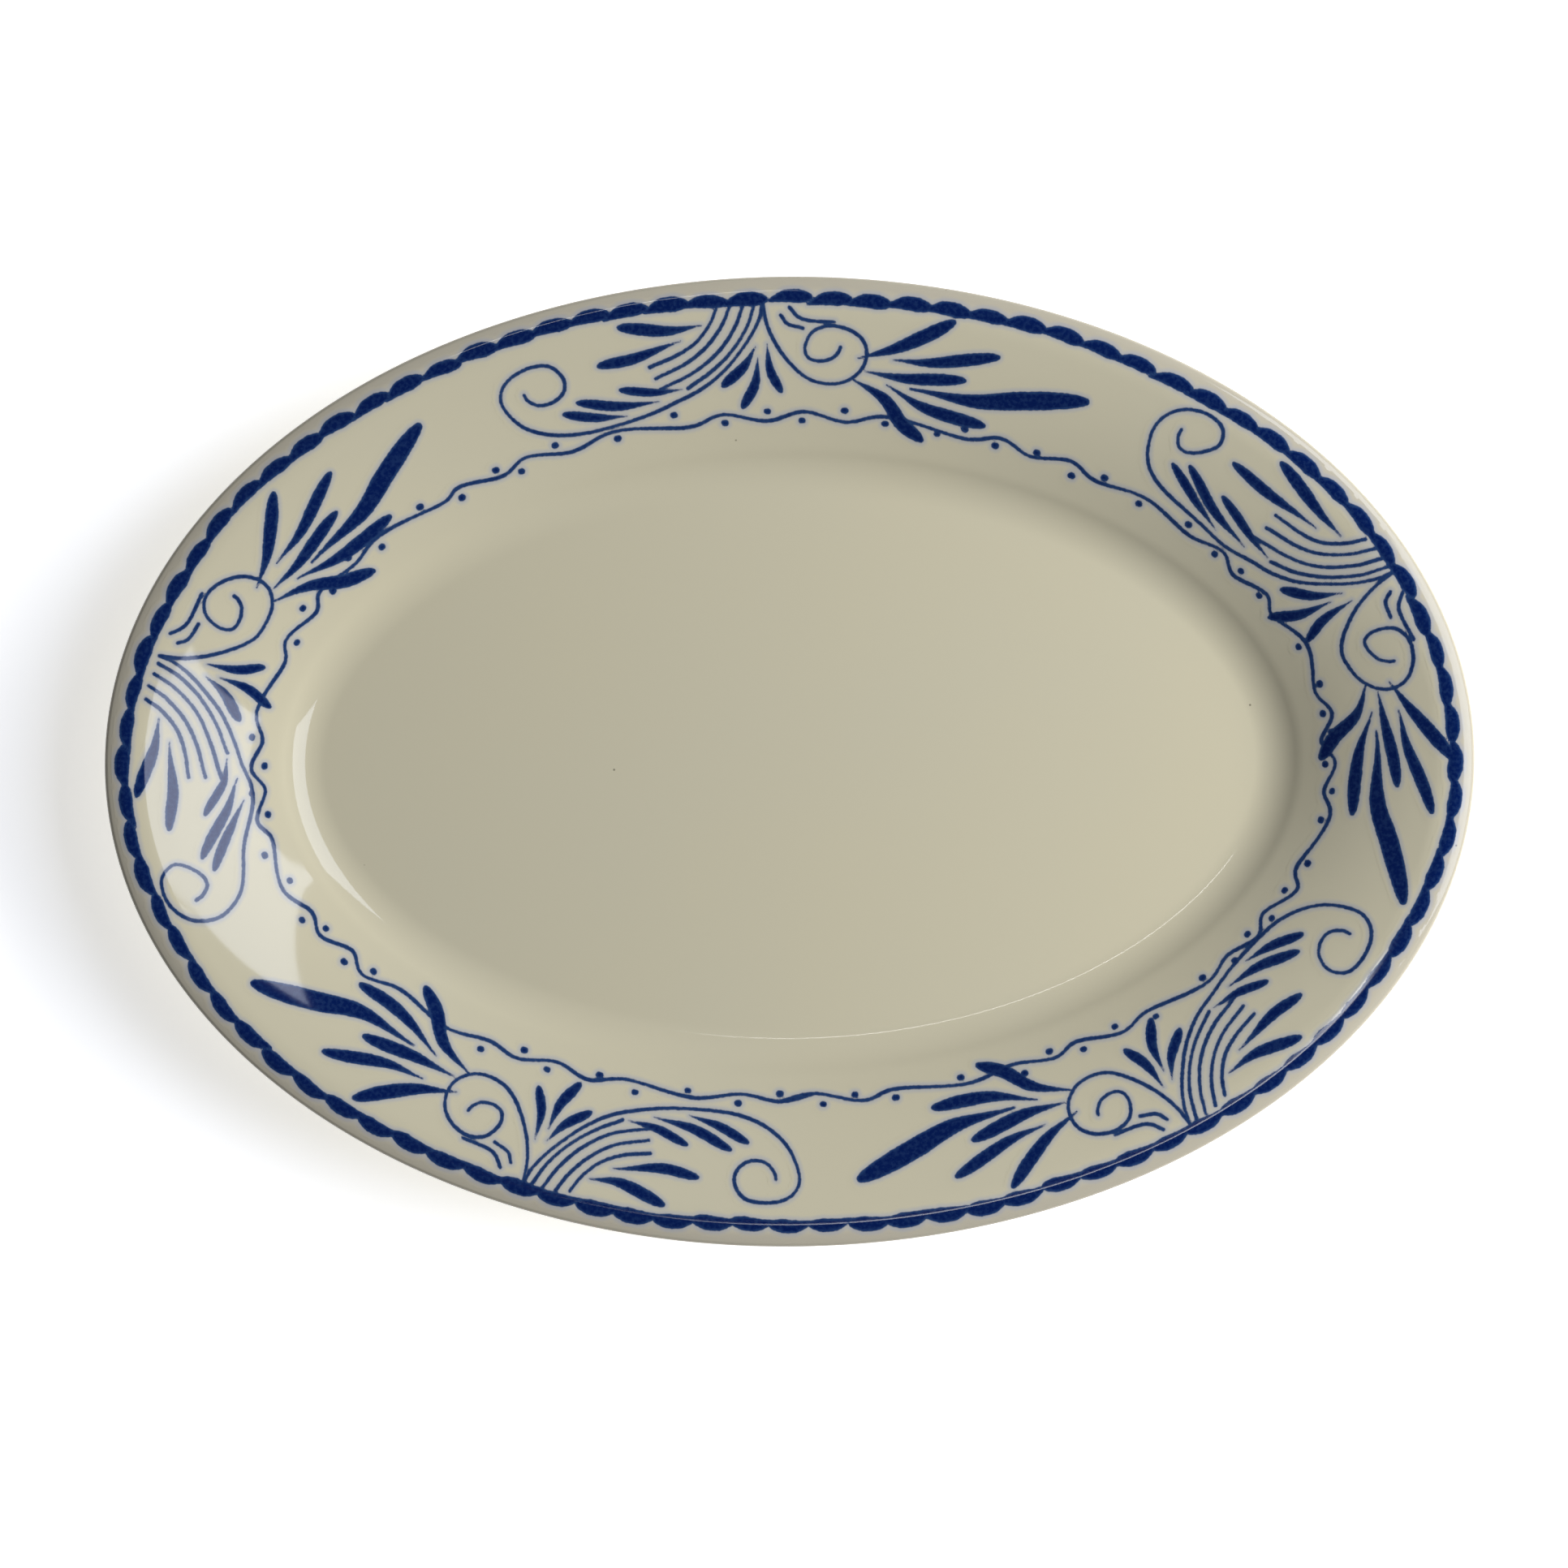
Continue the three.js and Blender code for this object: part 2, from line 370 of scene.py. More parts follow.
# %% [markdown]
# ## The blue decoration as a field
#
# A painter fills a brush with cobalt and works round the rim: a row of commas at the edge, a wavy
# line with dots where the rim ends, and five sprays between them. The strokes could be separate
# ribbons, but on real china two strokes that meet run into one, and every stroke has the same soft,
# bled edge.
#
# So the blue is worked out as a field. A fine lattice lies over the rim, and each of its points
# keeps the distance to the nearest stroke's edge, below zero inside a stroke. Strokes that cross
# then join by themselves. The cells near the strokes become thin films of colour on the surface,
# and their material turns distance into cobalt, soft edge and pale halo.
#
# The lattice is measured along a lane that runs round the rim, clockwise from the middle of the
# lower long side. A place on the rim is then (along, inset) in mm, wherever on the oval it is.

# %% The lane and its lattice
LANE_INSET = 17
COLUMNS = 1900
FIRST_INSET = 1.6
LAST_INSET = 40
turns = np.linspace(0, math.tau, 7201)


def ring_lengths(inset):
    """How far along a ring each of the turns is, in mm."""
    x, y = oval_place(-math.pi / 2 - turns, inset)
    return np.concatenate([[0], np.cumsum(np.hypot(np.diff(x), np.diff(y)))])


lane_lengths = ring_lengths(LANE_INSET)
LANE = lane_lengths[-1]
PITCH = LANE / COLUMNS
ROWS = math.ceil((LAST_INSET - FIRST_INSET) / PITCH)


def rim_place(along, inset):
    """Plan places in mm of places on the rim."""
    return oval_place(-math.pi / 2 - np.interp(np.mod(along, LANE), lane_lengths, turns), inset)


row_insets = FIRST_INSET + np.arange(ROWS) * PITCH
lattice = np.stack(rim_place(np.arange(COLUMNS)[:, None] * PITCH, row_insets[None, :]), axis=-1)
print(f"lane {LANE:.1f} mm, lattice {COLUMNS} x {ROWS} points, {PITCH:.2f} mm apart")

# %% A brush for the lattice
HALO = 1.3  # mm that the cobalt has spread into the glaze
FAR = 9.0
edge_gap = np.full((COLUMNS, ROWS), FAR)
owner = np.full((COLUMNS, ROWS), -1)


def smooth_route(points, step=0.25):
    """A smooth curve through the points, in steps of about step mm."""
    p = np.array(points, float)
    p = np.vstack([2 * p[0] - p[1], p, 2 * p[-1] - p[-2]])
    route = []
    for a, b, c, d in zip(p, p[1:], p[2:], p[3:]):
        count = max(2, math.ceil(math.dist(b, c) / step))
        t = (np.arange(count) / count)[:, None]
        curl = 2 * a - 5 * b + 4 * c - d + t * (3 * (b - c) + d - a)
        route.append(b + 0.5 * t * (c - a + t * curl))
    return np.vstack(route + [p[-2:-1]])


def paint(family, route, half_widths):
    """One stroke: discs along the route, each of which pulls down the distances near it."""
    spots = np.stack(rim_place(route[:, 0], route[:, 1]), axis=-1)
    for (along, inset), spot, half in zip(route, spots, half_widths):
        reach = math.ceil((half + HALO) * 1.5 / PITCH)
        row = round((inset - FIRST_INSET) / PITCH)
        rows = np.arange(max(row - reach, 0), min(row + reach + 1, ROWS))
        columns = (np.arange(-reach, reach + 1) + round(along / PITCH)) % COLUMNS
        near = np.ix_(columns, rows)
        gap = np.hypot(*np.moveaxis(lattice[near] - spot, -1, 0)) - half
        closer = gap < edge_gap[near]
        edge_gap[near] = np.where(closer, gap, edge_gap[near])
        owner[near] = np.where(closer, family, owner[near])


# %% [markdown]
# ## The five sprays
#
# Two kinds of stroke make a spray. A liner brush draws the thin scrolls at an even pressure. A
# round brush makes a leaf: it lands with its tip, is pressed down until the hairs spread, and lifts
# off with a round end. So one swell of width serves every leaf, and only length, bend and pressure
# differ.
#
# All five sprays are one drawing, made five times by hand. The places below are the turning points
# of that drawing, with its root on the lane at 0. Each row of handles says where one of its points
# went in each of the five, and between the handles the drawing bends like a thin springy plate.

# %% The drawing of a spray
BIG_SCROLL = [
    (0, 6), (-1, 10), (-4, 15), (-9, 20.5), (-15, 24.5), (-22, 27), (-30, 29), (-40, 29.9),
    (-48, 29.5), (-55, 27.5), (-60, 24), (-62.5, 19), (-62, 15.5), (-59, 13), (-54, 12),
    (-49.5, 13), (-47.2, 16.5), (-48, 19.5), (-51, 21), (-54.5, 20.8), (-56.6, 19), (-57, 17.5),
]
SMALL_SCROLL = [
    (0, 6), (0.8, 11), (3, 16), (6.5, 20.5), (10.5, 23.5), (15, 24.5), (19.5, 23.7), (22.8, 21),
    (23.9, 17.5), (22.8, 14.2), (19.5, 12), (15, 11.3), (11.3, 12.7), (9.5, 16), (10.2, 18.6),
    (12.8, 19.4), (15.6, 18.8), (17.2, 17.3), (17.7, 16.1),
]
COMB = [
    [(-10.3, 6.8), (-12.3, 10.6), (-15.8, 14.2), (-20.8, 16.6), (-27, 18.2)],
    [(-7.2, 6.3), (-9.4, 10.8), (-13.2, 15.2), (-18.6, 18.6), (-26, 21)],
    [(-4.3, 6.3), (-6.6, 11.6), (-10.8, 16.8), (-17.4, 21), (-26.5, 23.9)],
    [(-1.8, 6.3), (-3.8, 11.6), (-7.4, 16.6), (-12.4, 20.8), (-18.7, 24.2)],
]
TICKS = [
    [(5.9, 7.2), (8, 9.5), (11, 10.3), (16, 10.4)],
    [(4, 9), (5.5, 11), (9, 12)],
]
LEAVES = [  # half of the width, then the way from tail to end
    (1.65, [(22, 18.3), (30, 15.5), (37, 11.5), (42.5, 7.5)]),
    (1.45, [(30, 18), (40, 17.3), (53.9, 13.3)]),
    (1.5, [(23.8, 21.2), (34, 21.8), (47.4, 20.1)]),
    (2.25, [(35, 24), (50, 24.3), (62, 21.5), (76.2, 17.2)]),
    (1.55, [(29.3, 23.8), (38, 27.5), (46, 28.8), (54.3, 29.2)]),
    (1.7, [(21, 23.2), (29, 27), (34, 32), (39.6, 35.1)]),
    (1.25, [(-2, 16), (-5, 20.5), (-10.2, 24.4)]),
    (1.25, [(-1.5, 18.5), (-2.5, 24.5), (-5.7, 29.6)]),
    (1.2, [(0.7, 15.5), (1.3, 21.5), (3.8, 26.3)]),
    (1.4, [(-14, 10.3), (-22, 10.6), (-32.2, 8.1)]),
    (1.35, [(-19, 13.3), (-30, 15.6), (-38.5, 15.7)]),
    (1.05, [(-20, 24.3), (-27, 24.0), (-34.8, 22.1)]),
    (1.25, [(-26, 26.3), (-36, 25.6), (-45.4, 22.7)]),
    (1.15, [(-34.5, 28.2), (-42, 27.0), (-49.4, 24.4)]),
]

# %% How each of the five was drawn
SPRAYS = ("lower_left", "left", "upper", "right", "lower_right")
ROOTS = (60.3, 211.6, 371.2, 525.8, 662.4)
DRAWING = SPRAYS.index("upper")  # the drawing above is this one
HANDLES = [
    [(0, 5.8), (0, 8.5), (0, 6), (0, 5.6), (0, 5.6)],
    [(-40, 30.5), (-36, 33), (-40, 29.9), (-38, 29.8), (-38, 31)],
    [(-61.7, 16.4), (-60, 18.4), (-62.7, 18.4), (-61.6, 16.9), (-60.1, 17.2)],
    [(-53.3, 10.2), (-51.6, 7.3), (-53.5, 11.9), (-52.2, 7.9), (-51.6, 10)],
    [(-46.5, 15.1), (-44.4, 12.6), (-47.1, 17.4), (-45.4, 13.1), (-45.2, 14.7)],
    [(-51.2, 19.9), (-49.2, 18.7), (-52, 21.2), (-51.2, 18.4), (-50, 20.1)],
    [(-56, 15.5), (-53.5, 12.5), (-56.8, 17.6), (-55.5, 13.5), (-54.5, 15.4)],
    [(14.6, 26.3), (17.1, 26.3), (15, 24.5), (14.6, 24.4), (15.4, 25.7)],
    [(23.3, 19.3), (25.6, 19.7), (23.8, 17.2), (22.9, 16.4), (23.8, 18.4)],
    [(15, 12), (17, 12.3), (15, 11.3), (14.5, 9.7), (15, 12.2)],
    [(17.2, 17.2), (19, 17), (17.7, 16.1), (17, 14.3), (17.8, 16.8)],
    [(-10.3, 7), (-9.5, 7.8), (-10.3, 6.8), (-9, 6.5), (-9.6, 8)],
    [(-26.5, 19), (-25.3, 18.8), (-27, 18), (-25.5, 17), (-25.8, 18.8)],
    [(-26.5, 24.6), (-28, 26.8), (-26.5, 23.7), (-27.7, 24.8), (-26, 24.7)],
    [(-18.5, 25.3), (-19.8, 27.4), (-18.7, 24), (-19.5, 25.6), (-17.5, 25.5)],
    [(5.9, 8), (4.6, 8.5), (5.9, 7.2), (4, 6.3), (5.7, 8)],
    [(16, 11), (13.8, 10.2), (16, 10.4), (13, 8.9), (16, 11.2)],
    [(41.3, 8.1), (42.2, 8.7), (42.5, 7.5), (39.4, 5.2), (41.1, 7.5)],
    [(52.7, 12.8), (54.5, 13.2), (53.9, 13.3), (50.2, 8.9), (52.9, 12.5)],
    [(47.1, 21.1), (50, 21.2), (47.4, 20.1), (45.6, 17.6), (47.3, 19.9)],
    [(74.6, 13.6), (77.3, 14.7), (76.2, 17.2), (69.8, 8.8), (74.8, 15)],
    [(36, 25), (37, 25.8), (35, 24), (32, 22), (36, 24.7)],
    [(55.8, 30), (60, 29), (54.3, 29.2), (54.5, 26.5), (55.3, 28.8)],
    [(40.9, 37.9), (47.9, 36.6), (39.6, 35.1), (39, 35), (42, 36.2)],
    [(-10.7, 25.5), (-9.9, 29.8), (-10.2, 24.4), (-12.3, 28.8), (-9.1, 25.9)],
    [(-6.3, 31.2), (-3.7, 35.4), (-5.7, 29.6), (-8.6, 34.4), (-4.1, 31.2)],
    [(3.4, 27.9), (7, 31.2), (3.8, 26.3), (3.4, 30.8), (5.5, 27.8)],
    [(-31.1, 7.9), (-29, 7.3), (-32.2, 8.1), (-33.2, 8), (-30.1, 8.3)],
    [(-38.2, 15.1), (-37, 13.3), (-38.5, 15.7), (-41.6, 14.5), (-36.7, 15.3)],
    [(-34.9, 22), (-36.3, 21.5), (-34.8, 22.1), (-40.2, 22), (-33.4, 22.6)],
    [(-45.2, 22), (-46.2, 18.3), (-45.4, 22.7), (-50.8, 20.4), (-44, 22.6)],
    [(-49.6, 23.8), (-50.3, 18.9), (-49.4, 24.4), (-55.2, 21.5), (-48.3, 24.2)],
]
handles = np.array(HANDLES, float)
SLACK = 30  # how loosely the plate is held, so that it stays smooth
print(len(HANDLES), "handles on", len(SPRAYS), "sprays")


def plate(places):
    """How much each handle bends a springy plate at the places, with its three straight terms."""
    apart = np.linalg.norm(places[:, None] - handles[:, DRAWING], axis=-1)
    bend = apart**2 * np.log(apart + 1e-9)
    return np.hstack([bend, np.ones((len(places), 1)), places])


def pulled(points, spray):
    """Points of the drawing, moved as a springy plate that is held near the handles."""
    count = len(handles)
    plate_rows = plate(handles[:, DRAWING])
    system = np.zeros((count + 3, count + 3))
    system[:count] = plate_rows
    system[count:, :count] = plate_rows[:, count:].T
    system[:count, :count] += SLACK * np.eye(count)
    shift = np.vstack([handles[:, spray] - handles[:, DRAWING], np.zeros((3, 2))])
    p = np.array(points, float)
    return p + plate(p) @ np.linalg.solve(system, shift)


# %% Paint the sprays
LINE_HALF = 0.46
SWELL_ALONG = (0, 0.1, 0.25, 0.42, 0.6, 0.78, 0.9, 0.96, 1)
SWELL_WIDTH = (0.14, 0.24, 0.5, 0.82, 1, 1, 0.84, 0.66, 0.42)
hand = random.Random(12)


def paint_line(family, points):
    route = smooth_route(points)
    trembling = np.sin(np.arange(len(route)) * 0.045 + hand.uniform(0, 6)) * 0.04
    paint(family, route, LINE_HALF + trembling)


def paint_leaf(family, half, points):
    route = smooth_route(points)
    share = np.linspace(0, 1, len(route))
    paint(family, route, half * np.interp(share, SWELL_ALONG, SWELL_WIDTH))


for spray, root in enumerate(ROOTS):
    for points in [BIG_SCROLL, SMALL_SCROLL] + COMB + TICKS:
        paint_line(spray, pulled(points, spray) + (root, 0))
    for half, points in LEAVES:
        paint_leaf(spray, half * hand.uniform(0.94, 1.06), pulled(points, spray) + (root, 0))
print("painted", len(SPRAYS), "sprays of", 2 + len(COMB + TICKS + LEAVES), "strokes")

# %% [markdown]
# ## The wavy line and its dots
#
# Where the rim turns down, one line waves round the whole oval, with a dot in each of its bays. It
# was drawn freehand, so its turning points keep their uneven steps: each spray has the points of
# its own stretch, measured from its root.

# %% Paint the wavy line
WAVES = [
    [
        (-66, 35), (-57, 33.3), (-47, 34.7), (-35, 33), (-18, 34.7), (-8, 32.7), (1, 34.6),
        (11, 32.5), (19.5, 33.8), (31, 32.3), (46, 34.4), (57, 32), (63.5, 34.6), (72.5, 32),
    ],
    [
        (-72, 34), (-62, 31.7), (-48, 34.7), (-40.5, 32.9), (-31.5, 36.1), (-24, 33.3),
        (-15, 35.5), (-6, 33), (10, 34.8), (17, 32.4), (28, 34.2), (33.5, 31.7), (45, 32.8),
        (55, 31.2), (73, 32.7), (79.5, 31.2),
    ],
    [
        (-69, 33), (-61.5, 31), (-50, 33), (-38, 31), (-20, 33), (-11, 31), (0, 33), (9.5, 31),
        (20, 33), (30.5, 31), (50, 33), (59.5, 31), (68, 33), (78, 31),
    ],
    [
        (-68.5, 33), (-55, 31.5), (-40.5, 33.4), (-30.5, 31.7), (-24, 34.1), (-14, 31.8),
        (-8, 33.8), (4, 31), (17.5, 33.7), (25.5, 31.4), (33.5, 34.7), (40.5, 31.8),
        (49.5, 33.7), (57, 31.2), (74, 33.7),
    ],
    [
        (-56.5, 31), (-46, 33.9), (-40, 31.3), (-30.5, 33), (-21.5, 31.2), (-5, 33.3),
        (4, 31.8), (15.5, 34.2), (22.5, 32.6), (33.5, 34.2), (45.5, 32.7), (63.5, 34.5),
        (72.5, 32.7),
    ],
]
DOTS = [
    [
        (-68, 32.5), (-57, 35), (-46.5, 32.6), (-33.5, 34.4), (-20.3, 32.2), (-10.5, 34.3),
        (2.8, 32.3), (10, 34.8), (20.5, 31.3), (55.3, 34.1), (63, 31.5), (73, 34),
    ],
    [
        (-72.2, 31.2), (-61, 34.1), (-51, 31.8), (-39.5, 35.6), (-32, 33), (-23.3, 36.3),
        (-14.3, 33.1), (17.8, 34.8), (26.7, 31.3), (35.8, 33.8), (45, 30.8), (53.8, 33.6),
        (68, 30.9), (78.7, 33.6),
    ],
    [
        (-70, 31.2), (-64, 33.6), (-53.7, 30.5), (-38, 32.7), (-23, 29.8), (-10.5, 32.9),
        (0.3, 30.8), (9, 33), (19.6, 30.4), (30, 32.6), (43.4, 33.2), (50, 30.9), (58.5, 32.9),
        (69.2, 31.8),
    ],
    [
        (-75, 34), (-67, 31.5), (-56, 33.3), (-42, 31.5), (-31.7, 33.3), (-23.3, 32.3),
        (-15, 33.2), (3.5, 32.9), (16, 32.2), (25, 33.4), (31, 32.3), (41, 34), (49.2, 31.9),
        (58.5, 32.9),
    ],
    [
        (-64.7, 31.9), (-54.7, 33.2), (-46.2, 31.7), (-38.5, 33.4), (-31, 31.1), (-21.5, 32.7),
        (-5.6, 31.3), (5, 33.7), (14.8, 32), (23.2, 34.4), (31, 31.5), (47, 34.4), (64.2, 32.5),
        (74.4, 34.2),
    ],
]
DOT_HALF = 0.74
FIRST_SCALLOP_FAMILY = len(SPRAYS)
FIRST_WAVE_FAMILY = 2 * len(SPRAYS)


def nearest_spray(along):
    """Index of the spray whose root is the nearest on the lane."""
    around = np.abs((np.asarray(along)[..., None] - np.array(ROOTS) + LANE / 2) % LANE - LANE / 2)
    return around.argmin(-1)


wave = [(root + x, inset) for root, points in zip(ROOTS, WAVES) for x, inset in points]
overlap = [(along + LANE, inset) for along, inset in wave[:2]]
route = smooth_route(wave + overlap)
sectors = nearest_spray(route[:, 0])
for sector in range(len(SPRAYS)):
    stretch = route[sectors == sector]
    pressure = LINE_HALF + 0.05 * np.sin(np.arange(len(stretch)) * 0.06)
    paint(FIRST_WAVE_FAMILY + sector, stretch, pressure)
for sector, (root, dots) in enumerate(zip(ROOTS, DOTS)):
    for x, inset in dots:
        dash = np.array([(root + x - 0.2, inset), (root + x + 0.2, inset)])
        paint(FIRST_WAVE_FAMILY + sector, dash, [DOT_HALF * hand.uniform(0.9, 1.1)] * 2)
print("the line turns", len(wave), "times and has", sum(map(len, DOTS)), "dots")

# %% [markdown]
# ## The commas of the edge
#
# Along the edge the brush made one short comma after another, clockwise: a thin tail that starts a
# little further in, a quick press, and a blunt end that nearly touches the next tail. Their steps
# are even along the outer edge, not along the lane, so their places go through both rings. The row
# began and ended where its gap is widest, beside the upper root.

# %% Paint the commas
COMMAS = 92
SEAM = ROOTS[DRAWING] + 2.2
COMMA = [(-5.6, 5.7), (-1.0, 4.6), (4.4, 4.9)]
COMMA_SHARE = (0, 0.15, 0.45, 0.75, 0.92, 1)
COMMA_HALF = (0.3, 0.8, 1.6, 1.75, 1.35, 0.95)
SEAM_GAP = 2.1  # mm between the last comma and the first
outer_lengths = ring_lengths(0)
outer_seam = np.interp(SEAM, lane_lengths, outer_lengths)
step = (outer_lengths[-1] - SEAM_GAP) / COMMAS
for number in range(COMMAS):
    centre = outer_seam + (number + 0.5) * step + hand.uniform(-0.35, 0.35)
    wander = 0.35 * math.sin(number * 0.71) + hand.uniform(-0.25, 0.25)
    tilt = hand.uniform(-0.06, 0.06)
    points = [(x * hand.uniform(0.95, 1.05), inset + wander + tilt * x) for x, inset in COMMA]
    route = smooth_route(points)
    share = np.linspace(0, 1, len(route))
    halves = hand.uniform(0.92, 1.08) * np.interp(share, COMMA_SHARE, COMMA_HALF)
    outer = (route[:, 0] + centre) % outer_lengths[-1]
    route[:, 0] = np.interp(outer, outer_lengths, lane_lengths)
    middle = route[len(route) // 2, 0]
    paint(FIRST_SCALLOP_FAMILY + int(nearest_spray(middle)), route, halves)
print(COMMAS, f"commas, {step:.2f} mm apart")

# %% [markdown]
# ## From the field to films
#
# Each family of strokes becomes one film: a grid the size of its window, bent onto the rim, without
# the cells that are far from a stroke or belong to another family. Two cells that touch only at a
# corner would make an edge of four walls, so one of them goes too. Then the film gets its
# thickness, a hundredth of a millimetre.

# %% Cut the films
FILM = 0.01
LIFT = 0.022  # the film's top above the glaze, enough to clear the flat faces of the spun body


def cell_corners(values):
    """The values at the four corners of every cell of the lattice."""
    following = np.roll(values, -1, 0)
    return np.stack([values[:, :-1], following[:, :-1], values[:, 1:], following[:, 1:]])


corner_gaps = cell_corners(edge_gap)
corner_owners = cell_corners(owner)
cell_gap = corner_gaps.min(0)
cell_owner = np.take_along_axis(corner_owners, corner_gaps.argmin(0)[None], 0)[0]


def without_corner_touches(cells):
    """The same cells, less one of each two that touch only at a corner."""
    while True:
        a, b, c, d = cells[:-1, :-1], cells[1:, :-1], cells[:-1, 1:], cells[1:, 1:]
        rising, falling = a & d & ~b & ~c, b & c & ~a & ~d
        if not (rising.any() or falling.any()):
            return cells
        a[rising] = False
        b[falling] = False


def film(name, family, root):
    """A closed film over one family's cells. Its points hold the distance to a stroke's edge."""
    first = round(root / PITCH) - COLUMNS // 2
    cells = np.roll((cell_gap < HALO) & (cell_owner == family), -first, axis=0)
    cells = without_corner_touches(cells)
    columns, rows = np.nonzero(cells)
    left, right, outer, inner = columns.min(), columns.max() + 1, rows.min(), rows.max() + 1
    bm = bmesh.new()
    gap_layer = bm.verts.layers.float.new("edge")
    bmesh.ops.create_grid(bm, x_segments=right - left, y_segments=inner - outer, size=0.5)
    far = []
    for face in bm.faces:
        centre = face.calc_center_median()
        column = left + math.floor((centre.x + 0.5) * (right - left))
        row = outer + math.floor((centre.y + 0.5) * (inner - outer))
        if not cells[column, row]:
            far.append(face)
    for v in bm.verts:
        column = (first + left + round((v.co.x + 0.5) * (right - left))) % COLUMNS
        row = outer + round((v.co.y + 0.5) * (inner - outer))
        height = glaze_height(row_insets[row]) + LIFT
        v.co = Vector((*lattice[column, row], height)) * MM
        v[gap_layer] = edge_gap[column, row]
    bmesh.ops.delete(bm, geom=far, context="FACES")
    bmesh.ops.recalc_face_normals(bm, faces=bm.faces)
    if sum(face.normal.z for face in bm.faces) < 0:
        bmesh.ops.reverse_faces(bm, faces=bm.faces)
    bmesh.ops.solidify(bm, geom=bm.faces, thickness=FILM * MM)
    bmesh.ops.recalc_face_normals(bm, faces=bm.faces)
    return finished(name, bm)


films = []
for number, (spray, root) in enumerate(zip(SPRAYS, ROOTS)):
    leaves = film(f"spray_{spray}", number, root)
    commas = film(f"edge_commas_{spray}", FIRST_SCALLOP_FAMILY + number, root)
    line = film(f"wave_line_{spray}", FIRST_WAVE_FAMILY + number, root)
    films.append((leaves, f"spray_print_{number + 1}"))
    films.append((commas, "edge_scallop_print"))
    films.append((line, "wave_line_print"))

# %% [markdown]
# ## Cobalt under the glaze
#
# Cobalt is the strongest of the ceramic blues, and it runs a little as the glaze melts. So a stroke
# is nearly black-blue where the brush left a pool, washes out towards its edge and in thin lines,
# and has a pale blue halo in the glaze. The distance on the film's points drives all three. A
# little noise on that distance makes the edge as uneven as a brush's.

# %% The cobalt
POOLED_COBALT = linear("#00184E")
THIN_COBALT = linear("#233D67")
BLED_COBALT = linear("#8E9AB8")


def cobalt_material():
    material = new_material("underglaze_cobalt")
    place = add_node(material, "ShaderNodeTexCoord", {}, {})["Object"]
    gap = add_node(material, "ShaderNodeAttribute", {"attribute_name": "edge"}, {})["Fac"]
    hairs = add_node(
        material, "ShaderNodeTexNoise", {"Scale": PER_MM / 0.9, "Detail": 2.0}, {"Vector": place}
    )
    uneven = {"operation": "MULTIPLY_ADD", 1: 0.32, 2: -0.16}  # mm either way
    shift = add_node(material, "ShaderNodeMath", uneven, {0: hairs["Fac"]})["Value"]
    brushed = add_node(material, "ShaderNodeMath", {"operation": "ADD"}, {0: gap, 1: shift})["Value"]
    pools = add_node(
        material, "ShaderNodeTexNoise", {"Scale": PER_MM / 3, "Detail": 2.0}, {"Vector": place}
    )
    pooling = {"operation": "MULTIPLY_ADD", 1: 0.5}
    pooled = add_node(material, "ShaderNodeMath", pooling, {0: pools["Fac"], 2: brushed})["Value"]
    mottle = ranged(material, hairs["Fac"], 0.4, 0.68, 0.0, 0.34)
    deep = mixed(material, mottle, POOLED_COBALT, THIN_COBALT)
    blue = mixed(material, ranged(material, pooled, -0.5, 0.2, 0.0, 1.0), deep, THIN_COBALT)
    ivory = glaze_colour(material, place)
    haze = mixed(material, ranged(material, brushed, 0.0, HALO, 0.42, 0.0), ivory, BLED_COBALT)
    colour = mixed(material, ranged(material, brushed, -0.16, 0.16, 1.0, 0.0), haze, blue)
    links = {"Base Color": colour, "Normal": glaze_waves(material, place)}
    finish_surface(material, GLAZE_GLOSS, links)
    return material


cobalt = cobalt_material()
for piece, node in films:
    dress(piece, node, cobalt)
print("blue on", len(films), "films")

# %% [markdown]
# ## Floor, light and camera
#
# The platter lies on a plain white table under a camera that looks straight down. The table glows
# a little, which keeps it white in the platter's shadow. Glossy china shows its lights as much as
# itself, so there are few of them. A low window on the right shapes the well, and is left out of
# reflections. A cooler softbox above it lays a crisp patch on the rim across from it and a crescent
# in the turn of the well. A weak strip near the camera draws thin lines along the edge, and a dim
# sky fills the shadows.

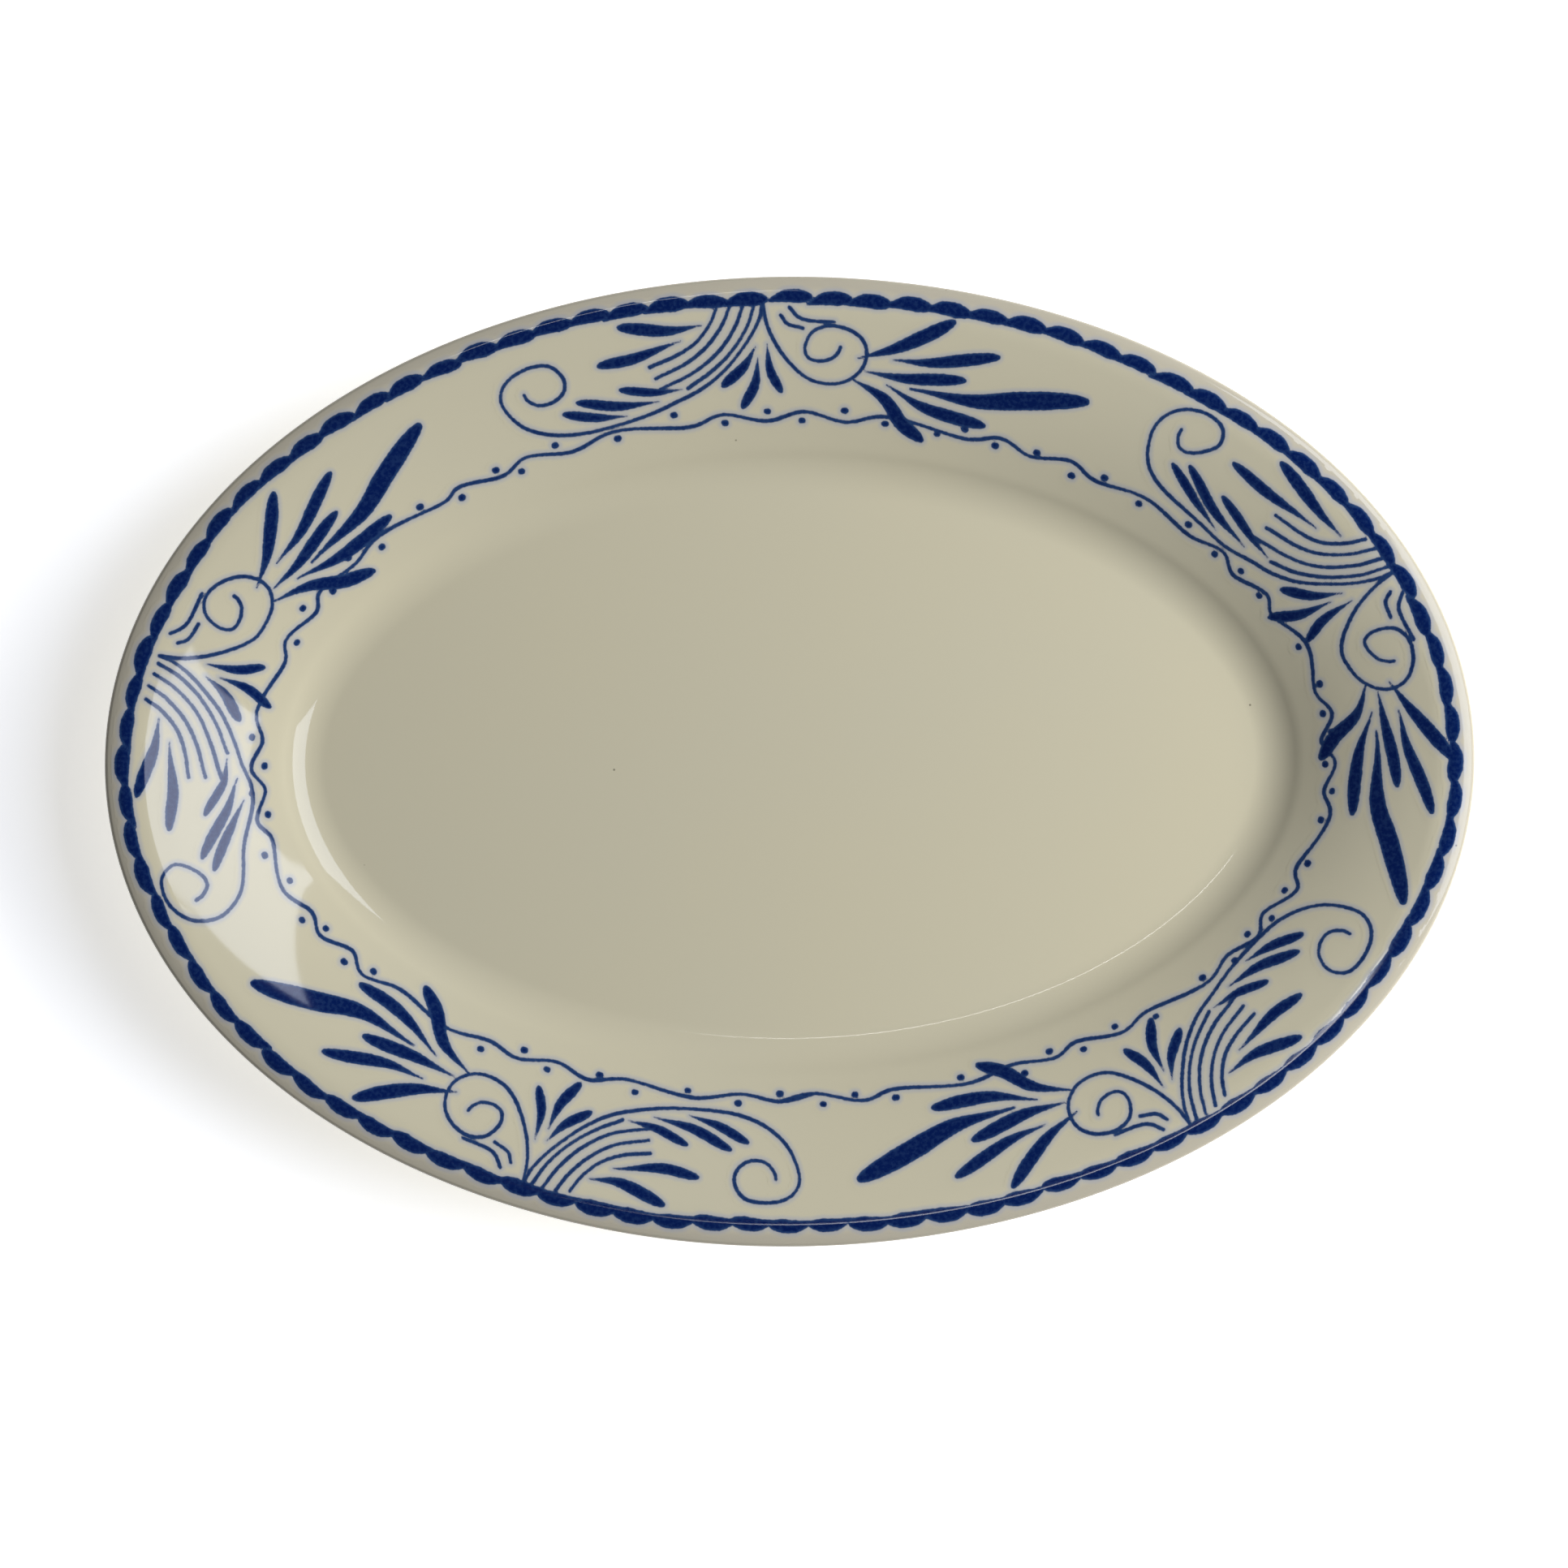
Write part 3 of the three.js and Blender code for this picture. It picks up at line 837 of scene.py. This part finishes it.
# %% The table
bm = bmesh.new()
bmesh.ops.create_grid(bm, x_segments=4, y_segments=4, size=3)
table = finished("white_table", bm)
table_paint = new_material("white_table_paint")
table_place = add_node(table_paint, "ShaderNodeTexCoord", {}, {})["Object"]
table_grain = add_node(
    table_paint, "ShaderNodeTexNoise", {"Scale": PER_MM / 400}, {"Vector": table_place}
)
table_tone = mixed(table_paint, table_grain["Fac"], linear("#F8F8F8"), linear("#FBFBFB"))
table_finish = {"Roughness": 0.6, "Emission Color": linear("#FFFFFF"), "Emission Strength": 0.6}
finish_surface(table_paint, table_finish, {"Base Color": table_tone})
table.data.materials.append(table_paint)


# %% The lights
def softbox(name, size, direction, distance, roll, watts):
    """A rectangular area light that looks at the platter, from (azimuth, degrees from overhead)."""
    azimuth, tilt = map(math.radians, direction)
    light = bpy.data.lights.new(name, "AREA")
    light.shape = "RECTANGLE"
    light.size, light.size_y = size
    light.energy = watts
    lamp = bpy.data.objects.new(name, light)
    lamp.location = distance * Vector((
        math.sin(tilt) * math.cos(azimuth), math.sin(tilt) * math.sin(azimuth), math.cos(tilt),
    ))
    turn = lamp.location.to_track_quat("Z", "Y") @ Quaternion((0, 0, 1), math.radians(roll))
    lamp.rotation_euler = turn.to_euler()
    bpy.context.scene.collection.objects.link(lamp)
    return lamp


key = softbox("key_softbox", (0.96, 0.5), (14, 32), 1.4, -8, 6.6)
key.data.color = (0.88, 0.95, 1.12)
window = softbox("low_window", (1.2, 0.6), (5, 57), 1.1, 0, 17.2)
window.visible_glossy = False
softbox("edge_strip", (0.18, 0.02), (108, 10), 1.5, 0, 0.12)
world = bpy.data.worlds.new("dim_studio")
world.use_nodes = True
world.node_tree.nodes["Background"].inputs["Color"].default_value = (1, 1, 1, 1)
world.node_tree.nodes["Background"].inputs["Strength"].default_value = 0.05
bpy.context.scene.world = world
bpy.context.scene.view_settings.view_transform = "Standard"

# %% The camera
camera_data = bpy.data.cameras.new("overhead_camera")
camera_data.lens = 158.4
camera = bpy.data.objects.new("overhead_camera", camera_data)
camera.location = (-1.4 * MM, -5.2 * MM, 1.6 + HEIGHT * MM)
camera.rotation_euler = (0, 0, math.radians(-0.5))
bpy.context.scene.collection.objects.link(camera)
bpy.context.scene.camera = camera
